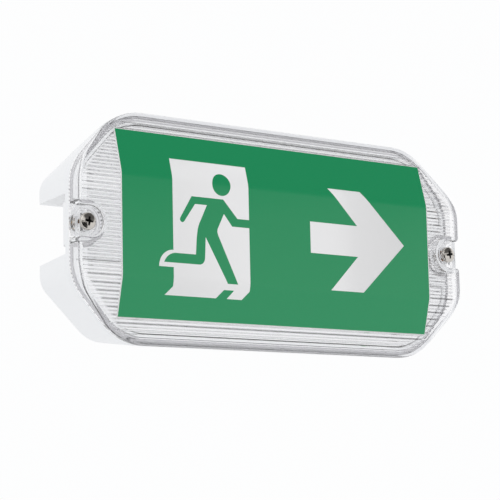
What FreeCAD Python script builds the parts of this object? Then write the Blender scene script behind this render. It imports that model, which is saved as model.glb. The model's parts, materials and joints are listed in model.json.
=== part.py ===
"""Emergency exit light: a weatherproof wall bulkhead with a ribbed clear cover and a green exit legend.

Frame: millimetres, +X along the light, +Z up, the wall at y = 0 and the front towards -Y.
The origin is the centre of the face that lies against the wall.
"""
import FreeCAD
import Part
import math
import os

from FreeCAD import Vector

# ---- driving dimensions -------------------------------------------------------------------
# outline of the clear cover: an octagon with rounded corners
LENGTH = 229.0
HEIGHT = 108.0
CHAMFER_X = 25.2
CHAMFER_Z = 27.7
END_RADIUS = 24.5
TOP_RADIUS = 30.0

# white base
BASE_DEPTH = 39.5
RIM_INSET = 0.3
RIM_DEPTH = 3.5
BACK_LENGTH = 215.2
BACK_HEIGHT = 98.0
BACK_CHAMFER_X = 26.0
BACK_CHAMFER_Z = 25.0
BACK_END_RADIUS = 10.8
BACK_TOP_RADIUS = 18.8
BACK_EDGE = 1.6
FLOOR = 2.5
CAVITY_INSET = 5.2
BACK_WALL = 2.4

# end recesses of the base, where a conduit arrives
RECESS_X = 90.0
RECESS_HALF_FRONT = 13.7
RECESS_HALF_BACK = 14.7
RECESS_CORNER = 2.5
RECESS_WALL = 2.2
ENTRY_RADIUS = 10.25
ENTRY_Y = -17.5

# cover screws and the bosses that take them
SCREW_X = 108.5
BOSS_DEPTH = 6.2
BOSS_HALF = 10.2
INSERT_RADIUS = 2.8
INSERT_LENGTH = 5.5
SCREW_RADIUS = 2.0
HEAD_RADIUS = 4.0
HEAD_HEIGHT = 2.6

# gasket groove in the front rim
GROOVE_INSET = (1.4, 4.0)
GROOVE_DEPTH = 2.2
GASKET_INSET = (1.5, 3.9)
GASKET_THICKNESS = 1.4
TONGUE_INSET = (1.6, 2.5)

# clear cover: height of its front above the base, flat in the middle and bevelled to the margins
RISE_CENTRE = 8.8
RISE_MARGIN = 2.9
FLAT_HALF = 23.7
MARGIN_Z = 46.0
BEND_RADIUS = 14.0
COVER_WALL = 2.0
SIDE_WALL = 2.5
SEAT_GAP = 0.15
EDGE_ROUND = 1.2
REED_PITCH = 3.44
REED_COUNT = 31
REED_RISE = 0.55
REED_CREST = 0.42 * REED_PITCH
REED_FLANK = 0.08 * REED_PITCH
POCKET_RISE = 5.4
POCKET_RADIUS = 7.0
POCKET_CORNER = 1.8
POCKET_FLOOR = 2.4
PILLAR_RADIUS = 4.3

# green legend sheet
LEGEND_LENGTH = 185.0
LEGEND_HEIGHT = 87.4
LEGEND_THICKNESS = 0.4
LEGEND_RAISE = 1.5

# wall fixings and entries
FIXING_SPACING = 140.0
FIXING_RADIUS = 2.5
COLLAR_RADIUS = 5.0
COLLAR_HEIGHT = 3.0

# gear tray and lamps
TRAY_FRONT = 38.5
TRAY_SHEET = 1.0
TRAY_INSET = 5.9
TRAY_NOTCH_GAP = 0.3
TRAY_FLANGE = 5.0
TRAY_BOSS_X = 78.0
TRAY_BOSS_Z = 38.0
TRAY_BOSS_RADIUS = 3.5
LAMP_BOARD = (150.0, 1.2, 10.0)
LAMP_BOARD_Z = 20.0
LAMPS_PER_BOARD = 7
LAMP_PITCH = 21.0
CHARGE_LAMP = (60.0, -36.0)

# control board
BOARD_X = (-38.0, 68.0)
BOARD_Z = (14.0, 43.0)
BOARD_BACK = 9.0
BOARD_SHEET = 1.6
BOARD_INSET = 4.0
BOARD_POST_RADIUS = 2.6

# parts on the control board: the transformer's E core and winding, and the (x, z, ...) of the others
CORE_X = 23.0
CORE_LENGTH = 18.0
CORE_Z = (22.0, 35.0)
CORE_TOP = 15.0
CORE_GAP = 1.0
CORE_YOKE = 3.0
CORE_MIDDLE = 4.0
CORE_WINDOW = 4.0
COIL_GAP = 0.2
COIL_OVERHANG = 3.0
COIL_FOOT = 2.0
CAPACITORS = ((44.0, 28.5, 5.0, 14.0), (4.0, 34.0, 4.0, 11.0), (4.0, 22.0, 3.2, 9.0))
CHIPS = ((-14.0, 28.0, 10.0, 7.6, 2.3), (-28.0, 30.0, 6.0, 5.0, 1.7), (57.0, 28.0, 5.0, 9.0, 2.6))

# battery stick
CELL_RADIUS = 8.4
CELL_LENGTH = 43.0
CELL_COUNT = 3
BATTERY_Z = -31.0
BATTERY_Y = -14.0
CLIP_X = 40.0
CLIP_WIDTH = 12.0
CLIP_WALL = 1.6

# terminal block
TERMINAL_X = -70.0
TERMINAL_PITCH = 9.0
TERMINAL_WAYS = 3
TERMINAL_Z = (15.0, 33.0)
TERMINAL_HEIGHT = 16.0
WIRE_WAY_RADIUS = 2.4
WIRE_WAY_HEIGHT = 6.5
SCREW_WELL_RADIUS = 2.3
SCREW_WELL_FLOOR = 9.5
SCREW_WELL_INSET = 4.5

FRONT = -BASE_DEPTH
BEVEL_ANGLE = math.atan((RISE_CENTRE - RISE_MARGIN) / (MARGIN_Z - FLAT_HALF))


# ---- outlines -----------------------------------------------------------------------------
def rounded_wire(corners):
    """Closed flat wire through (point, radius) corners, each one rounded by a tangent arc."""
    arcs = []
    count = len(corners)
    for i, (point, radius) in enumerate(corners):
        towards_last = corners[i - 1][0].sub(point).normalize()
        towards_next = corners[(i + 1) % count][0].sub(point).normalize()
        half = towards_last.getAngle(towards_next) / 2
        if radius == 0:
            arcs.append((point, None, point))
            continue
        reach = radius / math.tan(half)
        centre = point.add(towards_last.add(towards_next).normalize().multiply(radius / math.sin(half)))
        middle = centre.add(point.sub(centre).normalize().multiply(radius))
        start = point.add(Vector(towards_last).multiply(reach))
        end = point.add(Vector(towards_next).multiply(reach))
        arcs.append((start, middle, end))
    edges = []
    for i, (start, middle, end) in enumerate(arcs):
        if middle is not None:
            edges.append(Part.Arc(start, middle, end).toShape())
        following = arcs[(i + 1) % count][0]
        if end.distanceToPoint(following) > 1e-6:
            edges.append(Part.LineSegment(end, following).toShape())
    return Part.Wire(edges)


def octagon(length, height, chamfer_x, chamfer_z, end_radius, top_radius, y):
    """Rounded octagon in the plane at depth y, longer along X."""
    half_x = length / 2
    half_z = height / 2
    corners = []
    for sx, sz in ((1, 1), (-1, 1), (-1, -1), (1, -1)):
        side = (Vector(sx * half_x, y, sz * (half_z - chamfer_z)), end_radius)
        top = (Vector(sx * (half_x - chamfer_x), y, sz * half_z), top_radius)
        corners += [side, top] if sx == sz else [top, side]
    return rounded_wire(corners)


def cover_outline(inset, y):
    """The cover's octagon, moved inwards by inset on every side."""
    slant = math.hypot(CHAMFER_X, CHAMFER_Z)
    normal_x = CHAMFER_Z / slant
    normal_z = CHAMFER_X / slant
    length = LENGTH - 2 * inset
    height = HEIGHT - 2 * inset
    reach = normal_x * LENGTH / 2 + normal_z * (HEIGHT / 2 - CHAMFER_Z) - inset
    chamfer_z = height / 2 - (reach - normal_x * length / 2) / normal_z
    chamfer_x = length / 2 - (reach - normal_z * height / 2) / normal_x
    return octagon(length, height, chamfer_x, chamfer_z, END_RADIUS - inset, TOP_RADIUS - inset, y)


def back_outline(inset, y):
    """The octagon of the base's back, moved inwards by inset on every side."""
    return octagon(
        BACK_LENGTH - 2 * inset,
        BACK_HEIGHT - 2 * inset,
        BACK_CHAMFER_X - 0.6 * inset,
        BACK_CHAMFER_Z - 0.6 * inset,
        BACK_END_RADIUS - inset,
        BACK_TOP_RADIUS - inset,
        y,
    )


def prism(wire, depth):
    """The wire's face extruded towards the front by depth."""
    return Part.Face(wire).extrude(Vector(0, -depth, 0))


def box(x0, x1, y0, y1, z0, z1):
    return Part.makeBox(x1 - x0, y1 - y0, z1 - z0, Vector(x0, y0, z0))


def peg(x, z, y_back, y_front, radius):
    """Cylinder along Y from y_back towards the front."""
    return Part.makeCylinder(radius, y_back - y_front, Vector(x, y_back, z), Vector(0, -1, 0))


def both_ends(shape):
    """A shape at the +X end and its mirror image at the -X end."""
    return shape, shape.mirror(Vector(0, 0, 0), Vector(1, 0, 0))


def front_y(z, offset=0.0):
    """Depth of the cover's front at height z, offset outwards along its normal."""
    bend = FLAT_HALF + offset * math.tan(BEVEL_ANGLE / 2)
    if abs(z) <= bend:
        return FRONT - RISE_CENTRE - offset
    fall = (abs(z) - FLAT_HALF) * math.tan(BEVEL_ANGLE)
    bevel = FRONT - RISE_CENTRE + fall - offset / math.cos(BEVEL_ANGLE)
    return min(bevel, FRONT - RISE_MARGIN - offset)


def pocket_outline(radius, y):
    """U-shaped outline round the +X cover screw, open past the end of the cover."""
    end = LENGTH / 2 + 5.0
    top = Part.LineSegment(Vector(end, y, radius), Vector(SCREW_X, y, radius)).toShape()
    turn = Part.Arc(
        Vector(SCREW_X, y, radius), Vector(SCREW_X - radius, y, 0), Vector(SCREW_X, y, -radius)
    ).toShape()
    bottom = Part.LineSegment(Vector(SCREW_X, y, -radius), Vector(end, y, -radius)).toShape()
    close = Part.LineSegment(Vector(end, y, -radius), Vector(end, y, radius)).toShape()
    return Part.Wire([top, turn, bottom, close])


def rim_region(inset, y, depth):
    """Slab inside the cover's outline and clear of both screw pockets, moved inwards by inset."""
    slab = prism(cover_outline(inset, y), depth)
    for pocket in both_ends(prism(pocket_outline(POCKET_RADIUS + inset, y + 1), depth + 2)):
        slab = slab.cut(pocket)
    return slab


def rim_band(insets, y, depth):
    """Closed band along the rim that passes inboard of both cover screws."""
    outer, inner = insets
    return rim_region(outer, y, depth).cut(rim_region(inner, y + 1, depth + 2))


# ---- white base ---------------------------------------------------------------------------
def recess(grow):
    """The hollow in the +X end of the base, grown by grow on its three closed sides."""
    sections = []
    for y, half in ((FRONT + RIM_DEPTH, RECESS_HALF_FRONT), (1.0, RECESS_HALF_BACK)):
        corner = RECESS_CORNER + grow
        corners = [
            (Vector(RECESS_X - grow, y, half + grow), corner),
            (Vector(RECESS_X - grow, y, -half - grow), corner),
            (Vector(LENGTH, y, -half - grow), 0),
            (Vector(LENGTH, y, half + grow), 0),
        ]
        sections.append(rounded_wire(corners))
    return Part.makeLoft(sections, True, True)


def screw_boss():
    """Thickened block behind the rim that holds the brass insert, at the +X end."""
    back = FRONT + BOSS_DEPTH
    outer = LENGTH / 2 - RIM_INSET
    inner = SCREW_X - BOSS_HALF
    corners = [
        (Vector(inner, back, BOSS_HALF), 3.0),
        (Vector(inner, back, -BOSS_HALF), 3.0),
        (Vector(outer, back, -BOSS_HALF), 1.5),
        (Vector(outer, back, BOSS_HALF), 1.5),
    ]
    return prism(rounded_wire(corners), BOSS_DEPTH)


def board_posts():
    posts = []
    for x in (BOARD_X[0] + BOARD_INSET, BOARD_X[1] - BOARD_INSET):
        for z in (BOARD_Z[0] + BOARD_INSET, BOARD_Z[1] - BOARD_INSET):
            posts.append((x, z))
    return posts


def tray_bosses():
    return [(sx * TRAY_BOSS_X, sz * TRAY_BOSS_Z) for sx in (-1, 1) for sz in (-1, 1)]


def base_housing():
    rim = prism(cover_outline(RIM_INSET, FRONT + RIM_DEPTH), RIM_DEPTH)
    body = Part.makeLoft([cover_outline(RIM_INSET, FRONT + RIM_DEPTH), back_outline(0, -BACK_EDGE)], True, True)
    edge = Part.makeLoft([back_outline(0, -BACK_EDGE), back_outline(BACK_EDGE * 0.6, 0)], True, True)
    shell = rim.fuse([body, edge])
    cavity = Part.makeLoft([cover_outline(CAVITY_INSET, FRONT - 1), back_outline(BACK_WALL, -FLOOR)], True, True)
    for hollow, kept, boss in zip(
        both_ends(recess(0)), both_ends(recess(RECESS_WALL)), both_ends(screw_boss())
    ):
        cavity = cavity.cut(kept)
        shell = shell.cut(hollow.cut(boss))
    lid_half = RECESS_HALF_FRONT + RECESS_WALL
    plate = box(RECESS_X - RECESS_WALL, LENGTH, FRONT - 1, FRONT + RIM_DEPTH + 0.5, -lid_half, lid_half)
    for keep in both_ends(plate):
        cavity = cavity.cut(keep)
    shell = shell.cut(cavity)
    posts = [peg(x, z, -FLOOR, TRAY_SHEET - TRAY_FRONT, TRAY_BOSS_RADIUS) for x, z in tray_bosses()]
    posts += [peg(x, z, -FLOOR, -BOARD_BACK, BOARD_POST_RADIUS) for x, z in board_posts()]
    for side in (-1, 1):
        posts.append(peg(side * FIXING_SPACING / 2, 0, -FLOOR, -FLOOR - COLLAR_HEIGHT, COLLAR_RADIUS))
    shell = shell.fuse(posts)
    holes = [peg(x, z, -12.0, -BASE_DEPTH, 1.3) for x, z in tray_bosses()]
    holes += [peg(x, z, -FLOOR - 1.0, -BASE_DEPTH, 1.05) for x, z in board_posts()]
    for side in (-1, 1):
        holes.append(peg(side * FIXING_SPACING / 2, 0, 1.0, -FLOOR - COLLAR_HEIGHT - 1, FIXING_RADIUS))
        holes.append(peg(side * SCREW_X, 0, FRONT + INSERT_LENGTH, FRONT - 1, INSERT_RADIUS))
        entry = Part.makeCylinder(
            ENTRY_RADIUS, 8.0, Vector(side * (RECESS_X - 5.0), ENTRY_Y, 0), Vector(side, 0, 0)
        )
        holes.append(entry)
    holes.append(peg(0, 0, 1.0, -FLOOR - 1.0, ENTRY_RADIUS))
    shell = shell.cut(holes)
    groove = rim_band(GROOVE_INSET, FRONT + GROOVE_DEPTH, GROOVE_DEPTH + 1)
    return shell.cut(groove).removeSplitter()


def sealing_gasket():
    return rim_band(GASKET_INSET, FRONT + GROOVE_DEPTH, GASKET_THICKNESS)


# ---- clear cover --------------------------------------------------------------------------
def front_prism():
    """Everything behind the cover's faceted front, as a bar along X."""
    margin = FRONT - RISE_MARGIN
    crown = FRONT - RISE_CENTRE
    x = -LENGTH / 2 - 5
    corners = [
        (Vector(x, FRONT, -HEIGHT), 0),
        (Vector(x, margin, -HEIGHT), 0),
        (Vector(x, margin, -MARGIN_Z), BEND_RADIUS / 4),
        (Vector(x, crown, -FLAT_HALF), BEND_RADIUS),
        (Vector(x, crown, FLAT_HALF), BEND_RADIUS),
        (Vector(x, margin, MARGIN_Z), BEND_RADIUS / 4),
        (Vector(x, margin, HEIGHT), 0),
        (Vector(x, FRONT, HEIGHT), 0),
    ]
    return Part.Face(rounded_wire(corners)).extrude(Vector(LENGTH + 10, 0, 0))


def reeded_hollow():
    """The bar of air inside the cover; each reed is a flat-topped rib that stands into it."""
    x = -LENGTH / 2 - 5
    half = REED_COUNT * REED_PITCH / 2
    shoulder = (REED_PITCH - REED_CREST) / 2
    line = [(-half, 0.0)]
    for i in range(REED_COUNT):
        low = -half + i * REED_PITCH
        high = low + REED_PITCH
        line.append((low + shoulder - REED_FLANK, 0.0))
        line.append((low + shoulder, REED_RISE))
        line.append((high - shoulder, REED_RISE))
        line.append((high - shoulder + REED_FLANK, 0.0))
    line.append((half, 0.0))
    points = [Vector(x, front_y(z, -COVER_WALL) + rise, z) for z, rise in line]
    points += [Vector(x, FRONT + 1, half), Vector(x, FRONT + 1, -half), points[0]]
    return Part.Face(Part.makePolygon(points)).extrude(Vector(LENGTH + 10, 0, 0))


def is_pocket_corner(edge):
    """True for the upright edges where a screw pocket opens through the end of the cover."""
    bounds = edge.BoundBox
    upright = bounds.XLength < 1e-3 and bounds.ZLength < 1e-3
    return upright and abs(abs(bounds.ZMax) - POCKET_RADIUS) < 0.1 and bounds.YMin < FRONT - RISE_CENTRE + 0.1


def is_crown_edge(edge):
    """True for the edges round the faceted front: not its bend lines, uprights or pocket floors."""
    bounds = edge.BoundBox
    if bounds.YMax > FRONT - RISE_MARGIN + 0.1:
        return False
    if bounds.XLength < 1e-3 and bounds.ZLength < 1e-3:
        return False
    if bounds.YLength < 1e-3 and abs(bounds.YMax - (FRONT - POCKET_RISE)) < 1e-3:
        return False
    bend_line = bounds.YLength < 1e-3 and bounds.ZLength < 1e-3
    return not (bend_line and abs(bounds.ZMax) < HEIGHT / 2 - 1.0)


def cover_block():
    """Outer form of the cover: faceted, with its crown rounded and a pocket at each end."""
    block = prism(cover_outline(0, FRONT - SEAT_GAP), RISE_CENTRE + 1).common(front_prism())
    for pocket in both_ends(prism(pocket_outline(POCKET_RADIUS, FRONT - POCKET_RISE), RISE_CENTRE)):
        block = block.cut(pocket)
    block = block.makeFillet(POCKET_CORNER, [e for e in block.Edges if is_pocket_corner(e)])
    return block.makeFillet(EDGE_ROUND, [e for e in block.Edges if is_crown_edge(e)])


def diffuser():
    """Clear cover: a faceted, reeded shell with a screw pocket open at each end."""
    hollow = rim_region(SIDE_WALL, FRONT + 1, RISE_CENTRE + 2).common(reeded_hollow())
    floor = FRONT - POCKET_RISE
    under = floor + POCKET_FLOOR
    pillar = peg(SCREW_X, 0, FRONT, floor - 1, PILLAR_RADIUS)
    relief = prism(pocket_outline(POCKET_RADIUS - 0.6, FRONT + 1), FRONT + 1 - under)
    relief = relief.common(prism(cover_outline(SIDE_WALL, FRONT + 1), RISE_CENTRE)).cut(pillar)
    bore = peg(SCREW_X, 0, FRONT + 1, floor - 1, SCREW_RADIUS + 0.25)
    foot = peg(SCREW_X, 0, FRONT, FRONT - 1, PILLAR_RADIUS).cut(bore)
    slot_x = LENGTH / 2 - 3.9
    slots = [box(slot_x, slot_x + 1.2, floor - 1, under + 1, z, z + 4.2) for z in (0.9, -5.1)]
    cutters = [hollow]
    for tool in [relief, bore] + slots:
        cutters += both_ends(tool)
    tongue = rim_band(TONGUE_INSET, FRONT + GROOVE_DEPTH - GASKET_THICKNESS, GROOVE_DEPTH - GASKET_THICKNESS + 0.3)
    return cover_block().cut(cutters).fuse([tongue, *both_ends(foot)]).removeSplitter()


def legend_sheet():
    """Printed sheet that lies on the cover's three facets, a little above the middle."""
    x = -LEGEND_LENGTH / 2
    bottom = LEGEND_RAISE - LEGEND_HEIGHT / 2
    top = LEGEND_RAISE + LEGEND_HEIGHT / 2
    corners = []
    for offset, first, last in ((0.0, bottom, top), (LEGEND_THICKNESS, top, bottom)):
        bend = FLAT_HALF + offset * math.tan(BEVEL_ANGLE / 2)
        crown = FRONT - RISE_CENTRE - offset
        corners += [
            (Vector(x, front_y(first, offset), first), 0),
            (Vector(x, crown, math.copysign(bend, first)), BEND_RADIUS + offset),
            (Vector(x, crown, math.copysign(bend, last)), BEND_RADIUS + offset),
            (Vector(x, front_y(last, offset), last), 0),
        ]
    return Part.Face(rounded_wire(corners)).extrude(Vector(LEGEND_LENGTH, 0, 0))


# ---- cover fasteners ----------------------------------------------------------------------
def pan_screw(x, z, seat, length, radius, head_radius, head_height):
    """Pan head screw along Y with its head in front of the seat."""
    crown = head_height * 0.72
    profile = Part.Wire(
        [
            Part.LineSegment(Vector(0, 0, 0), Vector(0, -head_height, 0)).toShape(),
            Part.Arc(
                Vector(0, -head_height, 0),
                Vector(head_radius * 0.55, -head_height * 0.93, 0),
                Vector(head_radius * 0.93, -crown, 0),
            ).toShape(),
            Part.LineSegment(Vector(head_radius * 0.93, -crown, 0), Vector(head_radius, -0.3, 0)).toShape(),
            Part.LineSegment(Vector(head_radius, -0.3, 0), Vector(head_radius, 0, 0)).toShape(),
            Part.LineSegment(Vector(head_radius, 0, 0), Vector(0, 0, 0)).toShape(),
        ]
    )
    head = Part.Face(profile).revolve(Vector(0, 0, 0), Vector(0, 1, 0), 360)
    shank = Part.makeCylinder(radius, length - radius, Vector(0, 0, 0), Vector(0, 1, 0))
    tip = Part.makeCone(
        radius, radius * 0.55, radius, Vector(0, length - radius, 0), Vector(0, 1, 0)
    )
    screw = head.fuse([shank, tip]).removeSplitter()
    screw.translate(Vector(x, seat, z))
    return screw


def cover_screw(side):
    """Screw of the clear cover, with a cross recess in its head."""
    seat = FRONT - POCKET_RISE
    screw = pan_screw(side * SCREW_X, 0, seat, 9.6, SCREW_RADIUS, HEAD_RADIUS, HEAD_HEIGHT)
    arm = HEAD_RADIUS * 0.62
    blade = HEAD_RADIUS * 0.17
    cross = box(-arm, arm, -HEAD_HEIGHT - 1, -HEAD_HEIGHT * 0.42, -blade, blade)
    cross = cross.fuse(box(-blade, blade, -HEAD_HEIGHT - 1, -HEAD_HEIGHT * 0.42, -arm, arm))
    cross = cross.rotate(Vector(0, 0, 0), Vector(0, 1, 0), 20)
    cross.translate(Vector(side * SCREW_X, seat, 0))
    return screw.cut(cross)


def threaded_inserts():
    inserts = []
    for side in (-1, 1):
        body = peg(side * SCREW_X, 0, FRONT + INSERT_LENGTH, FRONT, INSERT_RADIUS)
        bore = peg(side * SCREW_X, 0, FRONT + INSERT_LENGTH + 1, FRONT - 1, SCREW_RADIUS + 0.05)
        inserts.append(body.cut(bore))
    return Part.makeCompound(inserts)


# ---- entries and wall fixings -------------------------------------------------------------
def entry_plug(side):
    """Blanking plug for the conduit entry in an end recess."""
    axis = Vector(side, 0, 0)
    flange = Part.makeCylinder(ENTRY_RADIUS + 1.2, 2.0, Vector(side * RECESS_X, ENTRY_Y, 0), axis)
    stem = Part.makeCylinder(
        ENTRY_RADIUS - 0.1, RECESS_WALL + 5.5, Vector(side * (RECESS_X - RECESS_WALL - 5.5), ENTRY_Y, 0), axis
    )
    hollow = Part.makeCylinder(
        ENTRY_RADIUS - 2.1, RECESS_WALL + 5.0, Vector(side * (RECESS_X - RECESS_WALL - 6.5), ENTRY_Y, 0), axis
    )
    slot = box(-1.0, 1.0, ENTRY_Y - 7.0, ENTRY_Y + 7.0, -0.8, 0.8)
    slot.translate(Vector(side * (RECESS_X + 2.0), 0, 0))
    return flange.fuse(stem).cut([hollow, slot]).removeSplitter()


def plug_locknuts():
    nuts = []
    for side in (-1, 1):
        axis = Vector(side, 0, 0)
        start = Vector(side * (RECESS_X - RECESS_WALL - 3.6), ENTRY_Y, 0)
        nut = Part.makeCylinder(ENTRY_RADIUS + 2.6, 3.6, start, axis)
        nuts.append(nut.cut(Part.makeCylinder(ENTRY_RADIUS, 3.6, start, axis)))
    return Part.makeCompound(nuts)


def fixing_seals():
    seat = -FLOOR - COLLAR_HEIGHT
    seals = []
    for side in (-1, 1):
        ring = peg(side * FIXING_SPACING / 2, 0, seat, seat - 1.2, COLLAR_RADIUS)
        seals.append(ring.cut(peg(side * FIXING_SPACING / 2, 0, seat + 1, seat - 2.2, FIXING_RADIUS + 0.1)))
    return Part.makeCompound(seals)


# ---- gear tray and lamps ------------------------------------------------------------------
def gear_tray():
    """White sheet tray that carries the lamps and covers the gear behind it."""
    back = TRAY_SHEET - TRAY_FRONT
    plate = prism(cover_outline(TRAY_INSET, back), TRAY_SHEET)
    half_x = LENGTH / 2 - CHAMFER_X - TRAY_INSET - 8.0
    for sz in (-1, 1):
        edge = sz * (HEIGHT / 2 - TRAY_INSET)
        inner = edge - sz * TRAY_SHEET
        plate = plate.fuse(box(-half_x, half_x, back, back + TRAY_FLANGE, min(edge, inner), max(edge, inner)))
    gap = RECESS_HALF_FRONT + RECESS_WALL + TRAY_NOTCH_GAP
    notch = box(RECESS_X - RECESS_WALL - TRAY_NOTCH_GAP, LENGTH, -BASE_DEPTH, 0, -gap, gap)
    for cutter in both_ends(notch):
        plate = plate.cut(cutter)
    holes = [peg(x, z, 0, -BASE_DEPTH, 1.6) for x, z in tray_bosses()]
    holes.append(peg(0, 0, 0, -BASE_DEPTH, 4.0))
    holes.append(peg(*CHARGE_LAMP, 0, -BASE_DEPTH, 1.6))
    return plate.cut(holes).removeSplitter()


def tray_screws():
    screws = [pan_screw(x, z, -TRAY_FRONT, 9.0, 1.25, 2.9, 1.9) for x, z in tray_bosses()]
    return Part.makeCompound(screws)


def lamp_board(sign):
    length, sheet, width = LAMP_BOARD
    z = sign * LAMP_BOARD_Z
    board = box(-length / 2, length / 2, -TRAY_FRONT - sheet, -TRAY_FRONT, z - width / 2, z + width / 2)
    return board


def lamp_chips():
    front = -TRAY_FRONT - LAMP_BOARD[1]
    chips = []
    for sign in (-1, 1):
        for i in range(LAMPS_PER_BOARD):
            x = (i - (LAMPS_PER_BOARD - 1) / 2) * LAMP_PITCH
            z = sign * LAMP_BOARD_Z
            chips.append(box(x - 1.75, x + 1.75, front - 0.9, front, z - 1.4, z + 1.4))
    return Part.makeCompound(chips)


def charge_lamp():
    """Small green indicator that shows the battery is on charge."""
    seat = TRAY_SHEET - TRAY_FRONT
    body = peg(*CHARGE_LAMP, seat + 3.0, -TRAY_FRONT - 1.5, 1.5)
    dome = Part.makeSphere(1.5, Vector(CHARGE_LAMP[0], -TRAY_FRONT - 1.5, CHARGE_LAMP[1]))
    collar = peg(*CHARGE_LAMP, seat + 1.0, seat, 2.1)
    return body.fuse([dome, collar]).removeSplitter()


# ---- control gear -------------------------------------------------------------------------
def control_board():
    board = box(BOARD_X[0], BOARD_X[1], -BOARD_BACK - BOARD_SHEET, -BOARD_BACK, BOARD_Z[0], BOARD_Z[1])
    return board.cut([peg(x, z, 0, -BASE_DEPTH, 1.15) for x, z in board_posts()])


def board_screws():
    seat = -BOARD_BACK - BOARD_SHEET
    return Part.makeCompound([pan_screw(x, z, seat, 6.5, 1.0, 2.0, 1.3) for x, z in board_posts()])


def transformer_core():
    """Ferrite E core pair that stands on the control board."""
    seat = -BOARD_BACK - BOARD_SHEET
    half = CORE_LENGTH / 2
    core = box(CORE_X - half, CORE_X + half, seat - CORE_TOP, seat - CORE_GAP, *CORE_Z)
    top = seat - CORE_TOP + CORE_YOKE
    bottom = seat - CORE_GAP - CORE_YOKE
    for side in (-1, 1):
        x = CORE_X + side * (CORE_MIDDLE + CORE_WINDOW) / 2
        window = box(x - CORE_WINDOW / 2, x + CORE_WINDOW / 2, top, bottom, CORE_Z[0] - 1, CORE_Z[1] + 1)
        core = core.cut(window)
    return core


def transformer_coil():
    """Bobbin and winding round the core's middle leg, on two feet."""
    seat = -BOARD_BACK - BOARD_SHEET
    half = CORE_MIDDLE / 2 + CORE_WINDOW - COIL_GAP
    top = seat - CORE_TOP + CORE_YOKE + COIL_GAP
    bottom = seat - CORE_GAP - CORE_YOKE - COIL_GAP
    low = CORE_Z[0] - COIL_OVERHANG
    high = CORE_Z[1] + COIL_OVERHANG
    coil = box(CORE_X - half, CORE_X + half, top, bottom, low, high)
    leg = box(CORE_X - CORE_MIDDLE / 2, CORE_X + CORE_MIDDLE / 2, top - 1, bottom + 1, *CORE_Z)
    feet = [box(CORE_X - 5.0, CORE_X + 5.0, bottom, seat, z, z + COIL_FOOT) for z in (low, high - COIL_FOOT)]
    return coil.cut(leg).fuse(feet).removeSplitter()


def capacitors():
    """Upright cans, each with a rolled groove near its foot."""
    seat = -BOARD_BACK - BOARD_SHEET
    cans = []
    for x, z, radius, height in CAPACITORS:
        can = peg(x, z, seat, seat - height, radius)
        ring = peg(x, z, seat - 1.4, seat - 2.2, radius + 0.5).cut(peg(x, z, seat, seat - 4.0, radius - 0.3))
        cans.append(can.cut(ring))
    return Part.makeCompound(cans)


def control_chips():
    seat = -BOARD_BACK - BOARD_SHEET
    chips = []
    for x, z, length, width, height in CHIPS:
        chips.append(box(x - length / 2, x + length / 2, seat - height, seat, z - width / 2, z + width / 2))
    return Part.makeCompound(chips)


def terminal_centres():
    return [TERMINAL_X + (i + 0.5) * TERMINAL_PITCH for i in range(TERMINAL_WAYS)]


def terminal_wells():
    """(x, z) of every terminal screw."""
    low, high = TERMINAL_Z
    return [(x, z) for x in terminal_centres() for z in (low + SCREW_WELL_INSET, high - SCREW_WELL_INSET)]


def terminal_block():
    """Mains terminal block with a wire way and a screw well for each conductor."""
    low, high = TERMINAL_Z
    seat = -FLOOR
    end = TERMINAL_X + TERMINAL_WAYS * TERMINAL_PITCH
    block = box(TERMINAL_X, end, seat - TERMINAL_HEIGHT, seat, low, high)
    cuts = [
        peg(x, z, seat - SCREW_WELL_FLOOR, seat - TERMINAL_HEIGHT - 1, SCREW_WELL_RADIUS)
        for x, z in terminal_wells()
    ]
    for x in terminal_centres():
        for z, direction in ((low - 1, 1), (high + 1, -1)):
            mouth = Vector(x, seat - WIRE_WAY_HEIGHT, z)
            cuts.append(Part.makeCylinder(WIRE_WAY_RADIUS, 8.0, mouth, Vector(0, 0, direction)))
    for i in range(1, TERMINAL_WAYS):
        x = TERMINAL_X + i * TERMINAL_PITCH
        cuts.append(box(x - 0.5, x + 0.5, seat - TERMINAL_HEIGHT - 1, seat - 11.0, low - 1, high + 1))
    return block.cut(cuts)


def terminal_screws():
    """Slotted screws at the bottom of the wells."""
    base = -FLOOR - SCREW_WELL_FLOOR
    screws = []
    for x, z in terminal_wells():
        head = peg(x, z, base, base - 3.5, SCREW_WELL_RADIUS - 0.2)
        screws.append(head.cut(box(x - 2.5, x + 2.5, base - 4.5, base - 2.6, z - 0.35, z + 0.35)))
    return Part.makeCompound(screws)


# ---- battery ------------------------------------------------------------------------------
def battery_cell(index):
    """One cell of the stick: a can with a raised positive cap."""
    start = (index - CELL_COUNT / 2) * CELL_LENGTH
    axis = Vector(1, 0, 0)
    can = Part.makeCylinder(CELL_RADIUS, CELL_LENGTH - 1.6, Vector(start, BATTERY_Y, BATTERY_Z), axis)
    bead = Part.makeTorus(CELL_RADIUS + 0.5, 0.9, Vector(start + CELL_LENGTH - 5.0, BATTERY_Y, BATTERY_Z), axis)
    cap = Part.makeCylinder(3.6, 1.6, Vector(start + CELL_LENGTH - 1.6, BATTERY_Y, BATTERY_Z), axis)
    return can.cut(bead).fuse(cap).removeSplitter()


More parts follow.
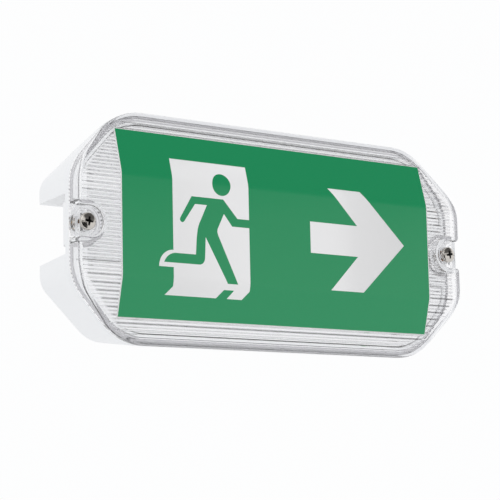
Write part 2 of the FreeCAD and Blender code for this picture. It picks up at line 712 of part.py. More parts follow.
def battery_clips():
    """Two spring clips on feet that hold the battery stick to the base."""
    clips = []
    for side in (-1, 1):
        start = side * CLIP_X - CLIP_WIDTH / 2
        foot = Vector(start, BATTERY_Y, BATTERY_Z)
        axis = Vector(1, 0, 0)
        ring = Part.makeCylinder(CELL_RADIUS + CLIP_WALL, CLIP_WIDTH, foot, axis)
        stem = box(start, start + CLIP_WIDTH, BATTERY_Y, -FLOOR, BATTERY_Z - 5.0, BATTERY_Z + 5.0)
        mouth = box(
            start - 1, start + CLIP_WIDTH + 1,
            BATTERY_Y - 20.0, BATTERY_Y - CELL_RADIUS * 0.55,
            BATTERY_Z - 20.0, BATTERY_Z + 20.0,
        )
        bore = Part.makeCylinder(CELL_RADIUS, CLIP_WIDTH, foot, axis)
        clips.append(ring.fuse(stem).cut([mouth, bore]).removeSplitter())
    return Part.makeCompound(clips)


PARTS = {
    "base_housing": base_housing,
    "sealing_gasket": sealing_gasket,
    "diffuser": diffuser,
    "legend_sheet": legend_sheet,
    "cover_screw_left": lambda: cover_screw(-1),
    "cover_screw_right": lambda: cover_screw(1),
    "threaded_inserts": threaded_inserts,
    "entry_plug_left": lambda: entry_plug(-1),
    "entry_plug_right": lambda: entry_plug(1),
    "plug_locknuts": plug_locknuts,
    "fixing_seals": fixing_seals,
    "gear_tray": gear_tray,
    "tray_screws": tray_screws,
    "lamp_board_upper": lambda: lamp_board(1),
    "lamp_board_lower": lambda: lamp_board(-1),
    "lamp_chips": lamp_chips,
    "charge_lamp": charge_lamp,
    "control_board": control_board,
    "board_screws": board_screws,
    "transformer_core": transformer_core,
    "transformer_coil": transformer_coil,
    "capacitors": capacitors,
    "control_chips": control_chips,
    "terminal_block": terminal_block,
    "terminal_screws": terminal_screws,
    "battery_cell_1": lambda: battery_cell(0),
    "battery_cell_2": lambda: battery_cell(1),
    "battery_cell_3": lambda: battery_cell(2),
    "battery_clips": battery_clips,
}


def main():
    os.makedirs("parts", exist_ok=True)
    for name, build in PARTS.items():
        shape = build()
        shape.exportStep("parts/%s.step" % name)
        print("%-20s solids %2d  volume %10.1f  valid %s" % (name, len(shape.Solids), shape.Volume, shape.isValid()))


main()
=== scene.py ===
"""Looks of the emergency exit light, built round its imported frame.

Metres, in the frame of the CAD: +X along the light, +Z up, the wall at y = 0, the front towards -Y.
"""

import json
import math
from collections import namedtuple

import bmesh
import bpy
from mathutils import Matrix, Vector
from mathutils.geometry import delaunay_2d_cdt

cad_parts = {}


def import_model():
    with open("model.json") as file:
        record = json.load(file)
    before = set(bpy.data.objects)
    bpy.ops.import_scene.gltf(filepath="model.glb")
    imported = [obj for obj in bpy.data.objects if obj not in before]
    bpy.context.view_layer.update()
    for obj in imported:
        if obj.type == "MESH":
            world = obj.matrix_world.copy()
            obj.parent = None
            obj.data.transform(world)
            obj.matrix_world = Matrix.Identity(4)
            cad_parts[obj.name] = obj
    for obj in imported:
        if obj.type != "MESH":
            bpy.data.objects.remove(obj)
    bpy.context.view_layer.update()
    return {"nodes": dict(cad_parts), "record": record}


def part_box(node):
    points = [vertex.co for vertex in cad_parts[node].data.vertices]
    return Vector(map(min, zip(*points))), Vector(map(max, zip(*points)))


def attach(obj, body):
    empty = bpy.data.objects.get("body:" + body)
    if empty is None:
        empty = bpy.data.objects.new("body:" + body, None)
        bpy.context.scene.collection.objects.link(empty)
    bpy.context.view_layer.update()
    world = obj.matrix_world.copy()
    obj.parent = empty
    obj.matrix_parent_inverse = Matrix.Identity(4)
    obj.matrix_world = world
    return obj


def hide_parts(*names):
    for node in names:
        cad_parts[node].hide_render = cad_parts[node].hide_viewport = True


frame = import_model()

MM = 0.001


def new_object(name, data):
    """Object with the given data, linked to the scene."""
    item = bpy.data.objects.new(name, data)
    bpy.context.scene.collection.objects.link(item)
    return item


# ---- shader node helpers ------------------------------------------------------------------
def new_group(name, inputs, outputs):
    """Empty shader node group with the named sockets: (name, type, default) and (name, type)."""
    group = bpy.data.node_groups.new(name, "ShaderNodeTree")
    for label, kind, default in inputs:
        socket = group.interface.new_socket(label, in_out="INPUT", socket_type=kind)
        socket.default_value = default
    for label, kind in outputs:
        group.interface.new_socket(label, in_out="OUTPUT", socket_type=kind)
    return group, group.nodes.new("NodeGroupInput"), group.nodes.new("NodeGroupOutput")


def feed(tree, socket, value):
    """Sets a socket to a number, or links it to another node's socket."""
    if isinstance(value, (int, float)):
        socket.default_value = value
    else:
        tree.links.new(value, socket)


def math_node(tree, operation, *values):
    node = tree.nodes.new("ShaderNodeMath")
    node.operation = operation
    for socket, value in zip(node.inputs, values):
        feed(tree, socket, value)
    return node.outputs[0]


def object_place(tree):
    """Place of the shaded point in the object's own frame."""
    return tree.nodes.new("ShaderNodeTexCoord").outputs["Object"]


def noise(tree, scale, detail):
    node = tree.nodes.new("ShaderNodeTexNoise")
    node.inputs["Detail"].default_value = detail
    feed(tree, node.inputs["Scale"], scale)
    tree.links.new(object_place(tree), node.inputs["Vector"])
    return node.outputs["Fac"]


def mixed_color(tree, factor, first, second):
    node = tree.nodes.new("ShaderNodeMix")
    node.data_type = "RGBA"
    tree.links.new(factor, node.inputs["Factor"])
    tree.links.new(first, node.inputs["A"])
    tree.links.new(second, node.inputs["B"])
    return node.outputs["Result"]


# ---- moulded and printed surfaces ---------------------------------------------------------
TONE_SCALE = 28.0
GLOSS_DRIFT = 0.08
GRAIN_HEIGHT = 0.1 * MM
FILM_GRAIN = 6000.0
FILM_BUMP = 0.015

# Tint of the light that passes straight through a clear piece or a film.
STRAIGHT_TINT = 0.99


def moulded_surface_group():
    """Fine mould grain, a faint drift of tone and a matching drift of gloss."""
    tree, given, out = new_group(
        "moulded_surface",
        [
            ("Color", "NodeSocketColor", (0.8, 0.8, 0.8, 1.0)),
            ("Shade", "NodeSocketColor", (0.7, 0.7, 0.7, 1.0)),
            ("Grain Scale", "NodeSocketFloat", 4000.0),
            ("Drift", "NodeSocketFloat", 0.3),
            ("Roughness", "NodeSocketFloat", 0.3),
            ("Gloss Drift", "NodeSocketFloat", GLOSS_DRIFT),
        ],
        [("Color", "NodeSocketColor"), ("Roughness", "NodeSocketFloat"), ("Height", "NodeSocketFloat")],
    )
    grain = noise(tree, given.outputs["Grain Scale"], 3.0)
    tone = math_node(tree, "MULTIPLY", noise(tree, TONE_SCALE, 2.0), given.outputs["Drift"])
    color = mixed_color(tree, tone, given.outputs["Color"], given.outputs["Shade"])
    spread = math_node(tree, "SUBTRACT", grain, 0.5)
    spread = math_node(tree, "MULTIPLY", spread, given.outputs["Gloss Drift"])
    tree.links.new(color, out.inputs["Color"])
    tree.links.new(math_node(tree, "ADD", given.outputs["Roughness"], spread), out.inputs["Roughness"])
    tree.links.new(grain, out.inputs["Height"])
    return tree


MOULDED = moulded_surface_group()


def new_material(name):
    material = bpy.data.materials.new(name)
    material.use_nodes = True
    tree = material.node_tree
    return material, tree, tree.nodes["Principled BSDF"]


def moulded_node(tree, color, shade, roughness, gloss_drift):
    """Node of the moulded_surface group with its two colours and its gloss set."""
    node = tree.nodes.new("ShaderNodeGroup")
    node.node_tree = MOULDED
    node.inputs["Color"].default_value = (*color, 1.0)
    node.inputs["Shade"].default_value = (*shade, 1.0)
    node.inputs["Roughness"].default_value = roughness
    node.inputs["Gloss Drift"].default_value = gloss_drift
    return node


def surfaced(name, color, shade, roughness, grain=4000.0, bump=0.02, drift=0.3, metallic=0.0):
    """Material whose colour, gloss and bump come from the moulded_surface group."""
    material, tree, bsdf = new_material(name)
    moulded = moulded_node(tree, color, shade, roughness, GLOSS_DRIFT)
    moulded.inputs["Grain Scale"].default_value = grain
    moulded.inputs["Drift"].default_value = drift
    tree.links.new(moulded.outputs["Color"], bsdf.inputs["Base Color"])
    tree.links.new(moulded.outputs["Roughness"], bsdf.inputs["Roughness"])
    relief = tree.nodes.new("ShaderNodeBump")
    relief.inputs["Strength"].default_value = bump
    relief.inputs["Distance"].default_value = GRAIN_HEIGHT
    tree.links.new(moulded.outputs["Height"], relief.inputs["Height"])
    tree.links.new(relief.outputs["Normal"], bsdf.inputs["Normal"])
    bsdf.inputs["Metallic"].default_value = metallic
    return material


def lighting_rays(tree, path):
    """1 for the rays that carry light to what lies behind a surface: shadow and diffuse rays."""
    return math_node(tree, "MAXIMUM", path.outputs["Is Shadow Ray"], path.outputs["Is Diffuse Ray"])


def let_through(tree, share):
    """The given share of the rays passes straight through; the others meet the shader."""
    clear = tree.nodes.new("ShaderNodeBsdfTransparent")
    clear.inputs["Color"].default_value = (STRAIGHT_TINT, STRAIGHT_TINT, STRAIGHT_TINT, 1.0)
    blend = tree.nodes.new("ShaderNodeMixShader")
    tree.links.new(share, blend.inputs["Fac"])
    tree.links.new(tree.nodes["Principled BSDF"].outputs["BSDF"], blend.inputs[1])
    tree.links.new(clear.outputs["BSDF"], blend.inputs[2])
    tree.links.new(blend.outputs["Shader"], tree.nodes["Material Output"].inputs["Surface"])


def printed_film(name, color, shade, roughness):
    """Thin film that lets light through, so that what is behind it stays lit."""
    material = surfaced(name, color, shade, roughness, FILM_GRAIN, FILM_BUMP)
    tree = material.node_tree
    let_through(tree, lighting_rays(tree, tree.nodes.new("ShaderNodeLightPath")))
    return material


# ---- clear cover --------------------------------------------------------------------------
COVER_LOW, COVER_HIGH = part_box("diffuser")

# The facets: half the height of the flat one, and how the front falls back over a sloping one.
FACET_HALF = 23.7 * MM
FACET_SLOPE = 5.9 / 22.3

# The cut corners of the cover's outline.
CHAMFER_X = 25.2 * MM
CHAMFER_Z = 27.7 * MM

# The reeds: distance between two flanks, depth behind the front with its tolerance, and the margin
# inside the outline where their painted shade starts, with the width over which it sets in.
REED_STEP = 1.72 * MM
REED_DEPTH = 2.0 * MM
REED_REACH = 0.8 * MM
REED_MARGIN = 4.6 * MM
REED_FADE = 0.8 * MM

# Their painted shade: how narrow the painted dark lines are, and how strong they are with how much it differs.
LINE_SHARPNESS = 1.2
LINE_STRENGTH = 0.85
LINE_UNEVEN = 0.15

# A ray that is still inside the plastic after this many reflections is let out.
TRAPPED_AFTER = 2.5


def reed_mask(tree, along, depth, height):
    """Where the painted shade goes: 1 on the reeded inside of the front, 0 elsewhere and near the rim."""
    across = math_node(tree, "ABSOLUTE", height)
    beyond = math_node(tree, "MAXIMUM", math_node(tree, "SUBTRACT", across, FACET_HALF), 0.0)
    fall = math_node(tree, "MULTIPLY", beyond, FACET_SLOPE)
    behind = math_node(tree, "SUBTRACT", math_node(tree, "SUBTRACT", depth, COVER_LOW.y), fall)
    from_reeds = math_node(tree, "ABSOLUTE", math_node(tree, "SUBTRACT", behind, REED_DEPTH))
    on_reeds = math_node(tree, "LESS_THAN", from_reeds, REED_REACH)

    slant = math.hypot(CHAMFER_X, CHAMFER_Z)
    normal_x = CHAMFER_Z / slant
    normal_z = CHAMFER_X / slant
    reach = normal_x * COVER_HIGH.x + normal_z * (COVER_HIGH.z - CHAMFER_Z)
    outwards = math_node(tree, "ABSOLUTE", along)
    towards_chamfer = math_node(
        tree,
        "ADD",
        math_node(tree, "MULTIPLY", outwards, normal_x),
        math_node(tree, "MULTIPLY", across, normal_z),
    )
    inset = math_node(
        tree,
        "MINIMUM",
        math_node(tree, "SUBTRACT", COVER_HIGH.x, outwards),
        math_node(tree, "SUBTRACT", reach, towards_chamfer),
    )
    fade = math_node(tree, "DIVIDE", math_node(tree, "SUBTRACT", inset, REED_MARGIN), REED_FADE)
    within = math_node(tree, "MAXIMUM", math_node(tree, "MINIMUM", fade, 1.0), 0.0)
    return math_node(tree, "MULTIPLY", on_reeds, within)


def reed_painted_shade_group():
    """Painted shade: soft dark lines painted into the colour along the flanks of the reeds, only on the inside
    of the ribbed front.
    """
    tree, given, out = new_group(
        "reed_painted_shade",
        [
            ("Clear", "NodeSocketColor", (1.0, 1.0, 1.0, 1.0)),
            ("Shade", "NodeSocketColor", (0.5, 0.5, 0.5, 1.0)),
        ],
        [("Color", "NodeSocketColor")],
    )
    place = tree.nodes.new("ShaderNodeSeparateXYZ")
    tree.links.new(object_place(tree), place.inputs[0])
    height = place.outputs["Z"]
    wave = math_node(tree, "COSINE", math_node(tree, "MULTIPLY", height, 2 * math.pi / REED_STEP))
    line = math_node(tree, "SUBTRACT", 0.5, math_node(tree, "MULTIPLY", wave, 0.5))
    swing = math_node(tree, "SINE", math_node(tree, "MULTIPLY", height, math.pi / REED_STEP))
    uneven = math_node(tree, "ADD", LINE_STRENGTH, math_node(tree, "MULTIPLY", swing, LINE_UNEVEN))
    strength = math_node(tree, "MULTIPLY", math_node(tree, "POWER", line, LINE_SHARPNESS), uneven)
    mask = reed_mask(tree, place.outputs["X"], place.outputs["Y"], height)
    factor = math_node(tree, "MULTIPLY", strength, mask)
    color = mixed_color(tree, factor, given.outputs["Clear"], given.outputs["Shade"])
    tree.links.new(color, out.inputs["Color"])
    return tree


def clear_polycarbonate():
    """Clear moulded plastic with painted shade lines along its reeds; shadow and diffuse rays pass straight,
    so that what is behind it stays lit.
    """
    material, tree, bsdf = new_material("clear_polycarbonate")
    bsdf.inputs["Transmission Weight"].default_value = 1.0
    bsdf.inputs["IOR"].default_value = 1.58
    bsdf.inputs["Specular IOR Level"].default_value = 0.3
    moulded = moulded_node(tree, (0.995, 0.993, 0.998), (0.99, 0.987, 0.995), 0.06, 0.03)
    # Painted shade: dark lines in the base colour along the reed flanks, in place of the light the reeds turn
    # away.
    reeds = tree.nodes.new("ShaderNodeGroup")
    reeds.node_tree = reed_painted_shade_group()
    # Colour of the painted shade lines along the flanks of the reeds.
    reeds.inputs["Shade"].default_value = (0.05, 0.05, 0.053, 1.0)
    tree.links.new(moulded.outputs["Color"], reeds.inputs["Clear"])
    tree.links.new(reeds.outputs["Color"], bsdf.inputs["Base Color"])
    tree.links.new(moulded.outputs["Roughness"], bsdf.inputs["Roughness"])
    path = tree.nodes.new("ShaderNodeLightPath")
    trapped = math_node(tree, "GREATER_THAN", path.outputs["Glossy Depth"], TRAPPED_AFTER)
    let_through(tree, math_node(tree, "MAXIMUM", lighting_rays(tree, path), trapped))
    return material


# ---- finishes of the slots in the record --------------------------------------------------
FINISHES = {
    "white_plastic": surfaced("white_polycarbonate", (0.86, 0.865, 0.868), (0.845, 0.85, 0.858), 0.32),
    "clear_plastic": clear_polycarbonate(),
    "green_film": printed_film("green_print", (0.003, 0.25, 0.088), (0.005, 0.262, 0.094), 0.26),
    "pale_silicone": surfaced("seal_silicone", (0.62, 0.615, 0.63), (0.56, 0.555, 0.57), 0.6, 2500.0, 0.2),
    "plated_steel": surfaced(
        "bright_nickel", (0.62, 0.59, 0.55), (0.55, 0.52, 0.48), 0.16, 3000.0, 0.02, metallic=1.0
    ),
    "brass_inserts": surfaced(
        "turned_brass", (0.66, 0.46, 0.18), (0.58, 0.40, 0.15), 0.25, 3000.0, 0.03, metallic=1.0
    ),
    "white_steel": surfaced(
        "tray_powder_coat", (0.94, 0.94, 0.94), (0.925, 0.925, 0.925), 0.45, 1500.0, 0.06
    ),
    "white_board": surfaced("white_solder_mask", (0.78, 0.78, 0.76), (0.74, 0.74, 0.72), 0.4),
    "lamp_phosphor": surfaced("lamp_phosphor", (0.75, 0.6, 0.12), (0.7, 0.55, 0.1), 0.35),
    "green_lens": surfaced("indicator_lens", (0.02, 0.35, 0.06), (0.02, 0.3, 0.05), 0.12),
    "green_board": surfaced(
        "green_solder_mask", (0.01, 0.09, 0.03), (0.015, 0.12, 0.045), 0.3, 500.0, 0.05, drift=0.8
    ),
    "dark_ferrite": surfaced("ferrite", (0.03, 0.03, 0.032), (0.05, 0.05, 0.052), 0.55, 3000.0, 0.15),
    "amber_winding": surfaced("winding_tape", (0.6, 0.36, 0.03), (0.5, 0.3, 0.02), 0.3),
    "black_sleeve": surfaced("can_sleeve", (0.012, 0.012, 0.014), (0.02, 0.02, 0.022), 0.25),
    "black_plastic": surfaced("black_moulding", (0.015, 0.015, 0.015), (0.025, 0.025, 0.025), 0.5),
    "cell_sleeve": surfaced("cell_sleeve", (0.05, 0.11, 0.3), (0.06, 0.13, 0.34), 0.3),
}
# Painted shade: a near black colour on the faces of each screw's cross recess, standing in for the shade
# inside it.
PAINTED_RECESS_SHADE = surfaced("painted_recess_shade", (0.02, 0.019, 0.018), (0.012, 0.011, 0.01), 0.45)
WHITE_FILM = printed_film("white_film", (0.825, 0.818, 0.81), (0.81, 0.803, 0.795), 0.3)


def dress_frame():
    """Each CAD node takes the finish of its slot in the record."""
    for subpart in frame["record"]["subparts"]:
        node = frame["nodes"][subpart["node"]]
        node.data.materials.clear()
        node.data.materials.append(FINISHES[subpart["material_slot"]])


def add_piece(name, mesh, material):
    piece = new_object(name, mesh)
    mesh.materials.append(material)
    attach(piece, "root")
    return piece


# ---- legend: outlines in millimetres from the centre of the sheet --------------------------
def arc(cx, cz, radius, start, end, steps=12):
    """Points of an arc; angles in degrees from +X towards +Z."""
    turn = [math.radians(start + (end - start) * i / steps) for i in range(steps + 1)]
    return [(cx + radius * math.cos(a), cz + radius * math.sin(a)) for a in turn]


DOOR_LEFT, DOOR_RIGHT, DOOR_TOP = -64.5, -21.0, 31.5
THRESHOLD, SILL = -28.4, -32.4
SLANT = 4.0
ARM_TOP, ARM_BOTTOM = 5.7, 1.8
HAND_X = -19.0
FOOT_BOTTOM = -17.5
HEEL_Z = FOOT_BOTTOM - 2.1

DOORWAY = [
    (DOOR_LEFT, DOOR_TOP), (DOOR_RIGHT, DOOR_TOP), (DOOR_RIGHT, THRESHOLD), (DOOR_RIGHT - SLANT, SILL),
    (-33.6, SILL), (-30.0, THRESHOLD), (-35.8, THRESHOLD), (-39.8, SILL),
    (DOOR_LEFT - SLANT, SILL), (DOOR_LEFT, THRESHOLD), (DOOR_LEFT, HEEL_Z),
    *arc(DOOR_LEFT, HEEL_Z, 8.0, 180, 90),
]
RUNNER = [
    (-53.9, 14.3), (-35.9, 14.3),
    (-27.8, ARM_TOP), (HAND_X, ARM_TOP), (HAND_X, ARM_BOTTOM), (-31.0, ARM_BOTTOM),
    (-35.6, 7.4), (-39.4, 0.0), (-39.6, -1.4), (-39.2, -2.8),
    (-28.1, -25.5), (-34.0, -25.5), (-46.3, -4.4),
    (-46.8, -13.6), *arc(-50.1, FOOT_BOTTOM + 3.2, 3.2, 0, -90, 6),
    (-69.6, FOOT_BOTTOM), *arc(-63.0, FOOT_BOTTOM - 2.6, 7.2, 156, 95, 6),
    (-52.0, -12.9), (-51.4, -5.0), (-50.8, -1.0), (-49.9, 1.6),
    (-45.3, 10.8), (-52.0, 10.8), (-58.2, 2.2), *arc(-59.3, 3.0, 1.35, -36, -210, 6),
]
HEAD = arc(-36.7, 21.2, 5.3, 0, 360, 32)[:-1]

ARROW_Z = 0.4
ARROW_TAIL, ARROW_NECK, ARROW_BARB, ARROW_SHOULDER, ARROW_TIP = 15.9, 45.6, 28.0, 48.6, 76.0
SHAFT_HALF, BARB_HALF = 7.7, 25.3
ARROW_UPPER = [
    (ARROW_TAIL, SHAFT_HALF), (ARROW_NECK, SHAFT_HALF), (ARROW_BARB, BARB_HALF), (ARROW_SHOULDER, BARB_HALF),
]
ARROW_LOWER = [(x, -z) for x, z in reversed(ARROW_UPPER)]
ARROW = [(x, z + ARROW_Z) for x, z in ARROW_UPPER + [(ARROW_TIP, 0.0)] + ARROW_LOWER]

# Width of the sheet's unprinted edge, in millimetres.
BORDER = 0.45

# In metres: the print lies a little behind the sheet's front, and the film behind the print.
INK_SINK = 0.01 * MM
FILM_SINK = 0.03 * MM
FILM_THICKNESS = 0.34 * MM

END_TOLERANCE = 1e-5
STRAIGHT_TOLERANCE = 1e-13
WELD_DISTANCE = 1e-8


def inside(point, outline):
    """Even-odd test of a point against a closed outline."""
    x, z = point
    hit = False
    for (x0, z0), (x1, z1) in zip(outline, outline[1:] + outline[:1]):
        if (z0 > z) != (z1 > z) and x < x0 + (z - z0) * (x1 - x0) / (z1 - z0):
            hit = not hit
    return hit


def sheet_profile():
    """Front line of the bent sheet as (z, y) points, read from the end of its CAD node."""
    vertices = frame["nodes"]["legend_sheet"].data.vertices
    low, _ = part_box("legend_sheet")
    end = {(round(v.co.z, 7), round(v.co.y, 7)) for v in vertices if v.co.x < low.x + END_TOLERANCE}
    line = []
    for z, y in sorted(end):
        while len(line) > 1:
            (z0, y0), (z1, y1) = line[-2:]
            if (z1 - z0) * (y - y0) - (y1 - y0) * (z - z0) > STRAIGHT_TOLERANCE:
                break
            line.pop()
        line.append((z, y))
    return line


def on_profile(profile, z):
    """Depth of the sheet's front at height z."""
    for (z0, y0), (z1, y1) in zip(profile, profile[1:]):
        if z <= z1:
            return y0 + (y1 - y0) * (z - z0) / (z1 - z0)
    return profile[-1][1]


def flat_triangles(outlines, profile):
    """Points and triangles of the flat outlines, also cut along the bends of the profile."""
    points = []
    edges = []
    for outline in outlines:
        first = len(points)
        points += [Vector(p) for p in outline]
        edges += [(first + i, first + (i + 1) % len(outline)) for i in range(len(outline))]
    low_x = min(p.x for p in points)
    high_x = max(p.x for p in points)
    low_z = min(p.y for p in points)
    high_z = max(p.y for p in points)
    for z, _ in profile:
        if low_z < z < high_z:
            edges.append((len(points), len(points) + 1))
            points += [Vector((low_x, z)), Vector((high_x, z))]
    flat, _, triangles, *_ = delaunay_2d_cdt(points, edges, [], 0, WELD_DISTANCE)
    return flat, triangles


def printed_field(name, profile, outlines, is_inked, sink):
    """Flat field of ink in the given outlines, bent with the sheet and sunk by sink behind its front."""
    flat, triangles = flat_triangles(outlines, profile)
    faces = []
    for corners in triangles:
        middle = sum((flat[i] for i in corners), Vector((0, 0))) / len(corners)
        if is_inked(middle):
            faces.append(corners)
    mesh = bpy.data.meshes.new(name)
    mesh.from_pydata([(p.x, on_profile(profile, p.y) + sink, p.y) for p in flat], [], faces)
    bm = bmesh.new()
    bm.from_mesh(mesh)
    bmesh.ops.delete(bm, geom=[v for v in bm.verts if not v.link_faces], context="VERTS")
    bmesh.ops.recalc_face_normals(bm, faces=bm.faces)
    if sum(f.normal.y * f.calc_area() for f in bm.faces) > 0:
        bmesh.ops.reverse_faces(bm, faces=bm.faces)
    bm.to_mesh(mesh)
    bm.free()
    mesh.shade_smooth()
    return mesh


def legend():
    """White film with its green print; the door, the arrow and a thin border stay unprinted."""
    profile = sheet_profile()
    low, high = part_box("legend_sheet")
    centre = Vector(((low.x + high.x) / 2, (low.z + high.z) / 2))

    def placed(outline):
        return [(centre.x + x * MM, centre.y + z * MM) for x, z in outline]

    half_x = (high.x - low.x) / 2 / MM - BORDER
    half_z = (high.z - low.z) / 2 / MM - BORDER
    field = placed([(-half_x, -half_z), (half_x, -half_z), (half_x, half_z), (-half_x, half_z)])
    door, runner, head, arrow = (placed(outline) for outline in (DOORWAY, RUNNER, HEAD, ARROW))

    def is_green(point):
        if not inside(point, field) or inside(point, arrow):
            return False
        return not inside(point, door) or inside(point, runner) or inside(point, head)

    ink = printed_field("legend_print", profile, [field, door, runner, head, arrow], is_green, INK_SINK)
    add_piece("legend_print", ink, FINISHES["green_film"])

    sheet = [(low.x, low.z), (high.x, low.z), (high.x, high.z), (low.x, high.z)]
    film_mesh = printed_field("legend_film", profile, [sheet], lambda point: True, FILM_SINK)
    film = add_piece("legend_film", film_mesh, WHITE_FILM)
    solid = film.modifiers.new("thickness", "SOLIDIFY")
    solid.thickness = FILM_THICKNESS
    solid.offset = -1
    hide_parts("legend_sheet")


# ---- screws -------------------------------------------------------------------------------
# A screw is built in millimetres with its seat at y = 0 and its head towards -Y. Its size gives the
# radius and height of the head, the radius and length of the shank, the thread's pitch, and the reach
# and half width of the cross.
ScrewSize = namedtuple("ScrewSize", "head height shank length pitch arm half")
COVER_SCREW = ScrewSize(head=4.0, height=2.6, shank=2.0, length=9.6, pitch=0.7, arm=2.2, half=0.45)
TRAY_SCREW = ScrewSize(head=2.9, height=1.9, shank=1.25, length=9.0, pitch=0.45, arm=1.5, half=0.33)
BOARD_SCREW = ScrewSize(head=2.0, height=1.3, shank=1.0, length=6.5, pitch=0.4, arm=1.1, half=0.24)

# Shares of the head's radius and height: the dome from its top, and the edge from the dome to the seat.
DOME_STEPS = (0.0, 0.2, 0.4, 0.55, 0.7, 0.82, 0.92, 1.0)
DOME_RADIUS = 0.93
DOME_FALL = 0.28
HEAD_EDGE = ((0.965, 0.66), (0.988, 0.56), (1.0, 0.42), (1.0, 0.1), (0.98, 0.04), (0.95, 0.0))

# The thread: plain length under the head, rows to a turn, and the groove's depth, rim and flank.
PLAIN_SHANK = 0.4
THREAD_ROWS = 6
GROOVE_DEPTH = 0.5
GROOVE_RIM = 1.4
GROOVE_FLANK = 3.4

# The tip: its length and radius in shares of the shank's radius.
TIP_LENGTH = 0.5
TIP_RADIUS = 0.62

# The cross: shares of its reach and half width at the mouth and at the floor, the height of the cutter
# above the head, the floor's height in shares of the head's, and how far its inner corners stand out.
CROSS_MOUTH = (1.25, 1.2)
CROSS_FLOOR = (0.4, 0.6)
CROSS_ABOVE = 0.8
CROSS_FLOOR_HEIGHT = 0.12
CROSS_CORNER = 1.35

SHARP_ANGLE = math.radians(35)


def lathe(bm, profile, groove, steps):
    """Closed solid of revolution about Y from (radius, y) points; groove(y, angle) is cut into it."""
    rows = []
    for radius, y in profile:
        if radius == 0:
            rows.append([bm.verts.new((0, y, 0))] * steps)
            continue
        row = []
        for i in range(steps):
            turn = 2 * math.pi * i / steps
            reach = radius - groove(y, turn)
            row.append(bm.verts.new((reach * math.cos(turn), y, reach * math.sin(turn))))
        rows.append(row)
    for near, far in zip(rows, rows[1:]):
        for i in range(steps):
            j = (i + 1) % steps
            bm.faces.new(list(dict.fromkeys((near[i], near[j], far[j], far[i]))))


def screw_body(size, steps):
    """Pan head and threaded shank of a screw, without its cross."""
    start = PLAIN_SHANK
    end = size.length - size.shank * TIP_LENGTH

    def groove(y, turn):
        if not start < y < end:
            return 0.0
        phase = (y / size.pitch - turn / (2 * math.pi)) % 1.0
        fade = min(1.0, (y - start) / size.pitch, (end - y) / size.pitch)
        flank = min(1.0, max(0.0, GROOVE_RIM - GROOVE_FLANK * abs(phase - 0.5)))
        return GROOVE_DEPTH * size.pitch * fade * flank

    top = size.head * DOME_RADIUS
    dome = [(top * t, -size.height * (1.0 - DOME_FALL * t ** 2)) for t in DOME_STEPS]
    edge = [(size.head * across, -size.height * up) for across, up in HEAD_EDGE]
    neck = [(size.shank, 0.0), (size.shank, start)]
    rows = round((end - start) / size.pitch * THREAD_ROWS)
    thread = [(size.shank, start + (end - start) * i / rows) for i in range(1, rows + 1)]
    tip = [(size.shank * TIP_RADIUS, size.length), (0.0, size.length)]
    bm = bmesh.new()
    lathe(bm, dome + edge + neck + thread + tip, groove, steps)
    return bm


def cross_ring(bm, size, shares, y, spin):
    """Twelve corners of the cross at depth y, with its reach and half width taken by the shares."""
    reach = size.arm * shares[0]
    side = size.half * shares[1]
    corner = side * CROSS_CORNER
    ring = []
    for quarter in range(4):
        step = spin @ Matrix.Rotation(math.radians(-90 * quarter), 3, "Y")
        for x, z in ((corner, -corner), (reach, -side), (reach, side)):
            ring.append(bm.verts.new(step @ Vector((x, y, z))))
    return ring


def cross_cutter(size, turn):
    """Tapered cross of a driver recess, open towards -Y and turned by turn degrees."""
    spin = Matrix.Rotation(math.radians(turn), 3, "Y")
    bm = bmesh.new()
    near = cross_ring(bm, size, CROSS_MOUTH, -size.height - CROSS_ABOVE, spin)
    far = cross_ring(bm, size, CROSS_FLOOR, -size.height * CROSS_FLOOR_HEIGHT, spin)
    bm.faces.new(near)
    bm.faces.new(list(reversed(far)))
    for i in range(len(near)):
        j = (i + 1) % len(near)
        bm.faces.new((near[i], near[j], far[j], far[i]))
    return bm


def solid_object(name, bm):
    """Object from bm, which is freed; it carries the screw's finish and the painted shade of its cross."""
    bmesh.ops.recalc_face_normals(bm, faces=bm.faces)
    mesh = bpy.data.meshes.new(name)
    bm.to_mesh(mesh)
    bm.free()
    mesh.materials.append(FINISHES["plated_steel"])
    mesh.materials.append(PAINTED_RECESS_SHADE)
    return new_object(name, mesh)


def screw_mesh(name, size, turn, steps):
    """Screw in metres with its cross cut; the faces of the cross take a painted shade."""
    body = solid_object(name + "_body", screw_body(size, steps))
    cutter = solid_object(name + "_cross", cross_cutter(size, turn))
    # The cutter's faces line the cross and take the painted recess shade.
    for face in cutter.data.polygons:
        face.material_index = 1
    cut = body.modifiers.new("cross", "BOOLEAN")
    cut.object = cutter
    cut.solver = "EXACT"
    mesh = bpy.data.meshes.new_from_object(body.evaluated_get(bpy.context.evaluated_depsgraph_get()))
    mesh.transform(Matrix.Scale(MM, 4))
    for helper in (body.data, cutter.data):
        bpy.data.meshes.remove(helper)
    return mesh


def threaded_screws(name, node, size, turn, steps):
    """One piece with a detailed screw at the place of each plain one of a CAD node."""
    single = screw_mesh(name, size, turn, steps)
    low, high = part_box(node)
    head = size.head * MM
    bm = bmesh.new()
    for x in sorted({round(low.x + head, 6), round(high.x - head, 6)}):
        for z in sorted({round(low.z + head, 6), round(high.z - head, 6)}):
            first = len(bm.verts)
            bm.from_mesh(single)
            bm.verts.ensure_lookup_table()
            bmesh.ops.translate(bm, vec=(x, low.y + size.height * MM, z), verts=bm.verts[first:])
    mesh = bpy.data.meshes.new(name)
    bm.to_mesh(mesh)
    bm.free()
    bpy.data.meshes.remove(single)
    mesh.shade_smooth()
    mesh.set_sharp_from_angle(angle=SHARP_ANGLE)
    mesh.materials.append(FINISHES["plated_steel"])
    piece = add_piece(name, mesh, PAINTED_RECESS_SHADE)
    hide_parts(node)


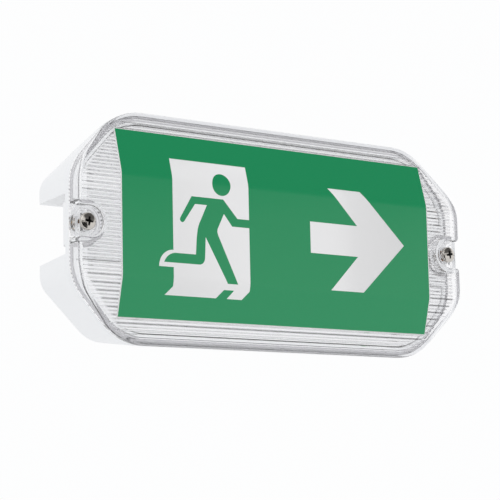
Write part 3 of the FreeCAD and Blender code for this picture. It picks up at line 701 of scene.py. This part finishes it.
def screws():
    threaded_screws("left_pan_screw", "cover_screw_left", COVER_SCREW, turn=6, steps=64)
    threaded_screws("right_pan_screw", "cover_screw_right", COVER_SCREW, turn=-11, steps=64)
    threaded_screws("tray_pan_screws", "tray_screws", TRAY_SCREW, turn=20, steps=40)
    threaded_screws("board_pan_screws", "board_screws", BOARD_SCREW, turn=35, steps=32)


# ---- studio -------------------------------------------------------------------------------
BACKGROUND = (0.985, 0.987, 0.99)
ROOM_COLOR = (0.97, 0.98, 1.0)
ROOM_LIGHT = 0.98

FLOOR_Z = -0.65
FLOOR_SIZE = 6.0

CAMERA_PLACE = Vector((-0.5247, -0.7258, -0.1338))
CAMERA_RIGHT = Vector((0.80402, -0.59419, -0.02199))
CAMERA_UP = Vector((-0.07077, -0.13236, 0.98867))
CAMERA_LENS = 130.1


def background(tree, color, strength):
    node = tree.nodes.new("ShaderNodeBackground")
    node.inputs["Color"].default_value = (*color, 1.0)
    node.inputs["Strength"].default_value = strength
    return node.outputs["Background"]


def world():
    """White for what is seen directly or in a reflection, and a plain level of light for the rest."""
    room = bpy.data.worlds.new("room")
    bpy.context.scene.world = room
    room.use_nodes = True
    tree = room.node_tree
    tree.nodes.clear()
    path = tree.nodes.new("ShaderNodeLightPath")
    seen = math_node(tree, "MAXIMUM", path.outputs["Is Camera Ray"], path.outputs["Is Glossy Ray"])
    seen = math_node(tree, "MAXIMUM", seen, path.outputs["Is Transmission Ray"])
    blend = tree.nodes.new("ShaderNodeMixShader")
    tree.links.new(seen, blend.inputs["Fac"])
    tree.links.new(background(tree, ROOM_COLOR, ROOM_LIGHT), blend.inputs[1])
    tree.links.new(background(tree, BACKGROUND, 1.0), blend.inputs[2])
    out = tree.nodes.new("ShaderNodeOutputWorld")
    tree.links.new(blend.outputs["Shader"], out.inputs["Surface"])


def lamp(name, place, size, power):
    """Square soft lamp that points at the middle of the wall face."""
    data = bpy.data.lights.new(name, "AREA")
    data.shape = "SQUARE"
    data.size = size
    data.energy = power
    light = new_object(name, data)
    light.location = place
    light.rotation_euler = (-Vector(place)).to_track_quat("-Z", "Y").to_euler()


def rectangle(name, width, height, z=0.0):
    """Flat mesh, centred on the Z axis."""
    x, y = width / 2, height / 2
    mesh = bpy.data.meshes.new(name)
    mesh.from_pydata([(-x, -y, z), (x, -y, z), (x, y, z), (-x, y, z)], [], [(0, 1, 2, 3)])
    return mesh


def card_finish(name, shade):
    """Even grey that no light changes."""
    material = bpy.data.materials.new(name)
    material.use_nodes = True
    tree = material.node_tree
    tree.nodes.clear()
    glow = tree.nodes.new("ShaderNodeEmission")
    glow.inputs["Color"].default_value = (shade, shade, shade, 1.0)
    out = tree.nodes.new("ShaderNodeOutputMaterial")
    tree.links.new(glow.outputs["Emission"], out.inputs["Surface"])
    return material


def reflection_card(name, place, width, height, shade):
    """Dark card of the studio that shows only in what the object reflects."""
    card = new_object(name, rectangle(name, width, height))
    card.data.materials.append(card_finish(name, shade))
    card.location = place
    card.rotation_euler = Vector(place).to_track_quat("Z", "Y").to_euler()
    card.visible_camera = False
    card.visible_diffuse = False
    card.visible_shadow = False
    card.visible_transmission = False


def studio_floor():
    floor = new_object("studio_floor", rectangle("studio_floor", FLOOR_SIZE, FLOOR_SIZE, FLOOR_Z))
    floor.data.materials.append(surfaced("pale_floor", (0.95, 0.95, 0.95), (0.94, 0.94, 0.94), 0.7, 60.0, 0.0))


def camera():
    data = bpy.data.cameras.new("camera")
    data.lens = CAMERA_LENS
    data.sensor_width = 36.0
    data.clip_start = 0.01
    view = new_object("camera", data)
    back = CAMERA_RIGHT.cross(CAMERA_UP)
    turn = Matrix((CAMERA_RIGHT, CAMERA_UP, back)).transposed().to_4x4()
    view.matrix_world = Matrix.Translation(CAMERA_PLACE) @ turn
    bpy.context.scene.camera = view


dress_frame()
legend()
screws()
world()
studio_floor()
lamp("key_lamp", place=(-1.6, -1.8, 1.6), size=1.4, power=4.0)
reflection_card("upper_card", place=(0.69, -1.06, 0.82), width=1.7, height=1.1, shade=0.12)
reflection_card("camera_card", place=(-0.3, -0.84, -0.28), width=1.25, height=0.7, shade=0.02)
camera()

bpy.context.scene.view_settings.view_transform = "Standard"
